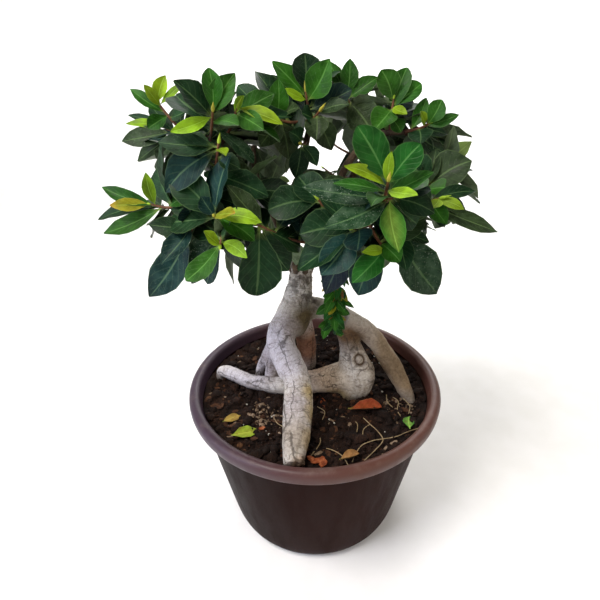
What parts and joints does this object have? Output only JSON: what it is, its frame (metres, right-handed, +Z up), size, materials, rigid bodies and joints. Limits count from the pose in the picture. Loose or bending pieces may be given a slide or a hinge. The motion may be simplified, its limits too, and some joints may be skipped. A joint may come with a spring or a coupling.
{
  "type": "bonsai tree in a pot",
  "caption": "Bonsai fig with thick pale aerial roots and a flat-topped crown of glossy leaves, planted in a round tapering pot with a rolled lip.",
  "frame": {"origin": "centre of the pot's flat underside", "axes": "+Z up; -Y is the side shown in the reference view, +X to its right"},
  "size_m": [0.263, 0.22, 0.3882],
  "materials": {
    "pot_plastic": "dark brown moulded plastic with a satin skin",
    "soil": "dark moist potting mix of peat and bark",
    "root_bark": "pale grey-beige bark with fine cross cracks",
    "branch_bark": "brown twig bark",
    "leaf_dark": "glossy leathery leaf, dark green",
    "leaf_green": "glossy leathery leaf, fresh green to lime",
    "litter_yellow": "fallen leaf, yellow-green",
    "litter_rust": "fallen leaf, dry and rust-coloured",
    "litter_lime": "fallen leaf, pale green",
    "litter_beige": "fallen leaf, dry and beige"
  },
  "bodies": {
    "root": {"pot": "pot_plastic", "soil": "soil", "rootstock": "root_bark", "branch_right_top": "branch_bark", "branch_back_right": "branch_bark", "branch_top": "branch_bark", "branch_back_left": "branch_bark", "branch_left": "branch_bark", "branch_left_front": "branch_bark", "branch_front": "branch_bark", "branch_right": "branch_bark", "leaves_tip_left": "leaf_green", "leaves_far_left": "leaf_dark", "leaves_upper_left": "leaf_dark", "leaves_upper_left_inner": "leaf_green", "leaves_left_big": "leaf_dark", "leaves_left_low": "leaf_green", "leaves_left_hanging": "leaf_dark", "leaves_low_left": "leaf_dark", "leaves_mid_left": "leaf_green", "leaves_hanging_front": "leaf_dark", "leaves_inner_left": "leaf_dark", "leaves_top_left": "leaf_dark", "leaves_top": "leaf_dark", "leaves_top_front": "leaf_dark", "leaves_top_right_inner": "leaf_dark", "leaves_top_right": "leaf_green", "leaves_right_up": "leaf_dark", "leaves_rosette": "leaf_green", "leaves_right_dark": "leaf_dark", "leaves_right_round": "leaf_dark", "leaves_right_low": "leaf_dark", "leaves_low_right": "leaf_dark", "leaves_low_mid": "leaf_dark", "leaves_low_front": "leaf_dark", "leaves_gap": "leaf_dark", "leaves_core": "leaf_dark", "leaves_rear_01": "leaf_dark", "leaves_rear_02": "leaf_dark", "leaves_rear_03": "leaf_dark", "leaves_rear_04": "leaf_dark", "leaves_rear_05": "leaf_dark", "leaves_rear_06": "leaf_dark", "leaves_rear_07": "leaf_dark", "leaves_rear_08": "leaf_dark", "leaves_rear_09": "leaf_dark", "leaves_rear_10": "leaf_dark", "leaves_rear_11": "leaf_dark", "leaves_rear_12": "leaf_dark", "leaves_rear_13": "leaf_dark", "leaves_rear_14": "leaf_dark", "leaves_rear_15": "leaf_dark", "leaves_rear_16": "leaf_dark", "leaves_rear_17": "leaf_dark", "hanging_shoot": "leaf_green", "litter_yellow_green": "litter_yellow", "litter_orange": "litter_rust", "litter_green": "litter_lime", "litter_beige": "litter_beige", "litter_yellow_brown": "litter_beige"}
  },
  "joints": []
}
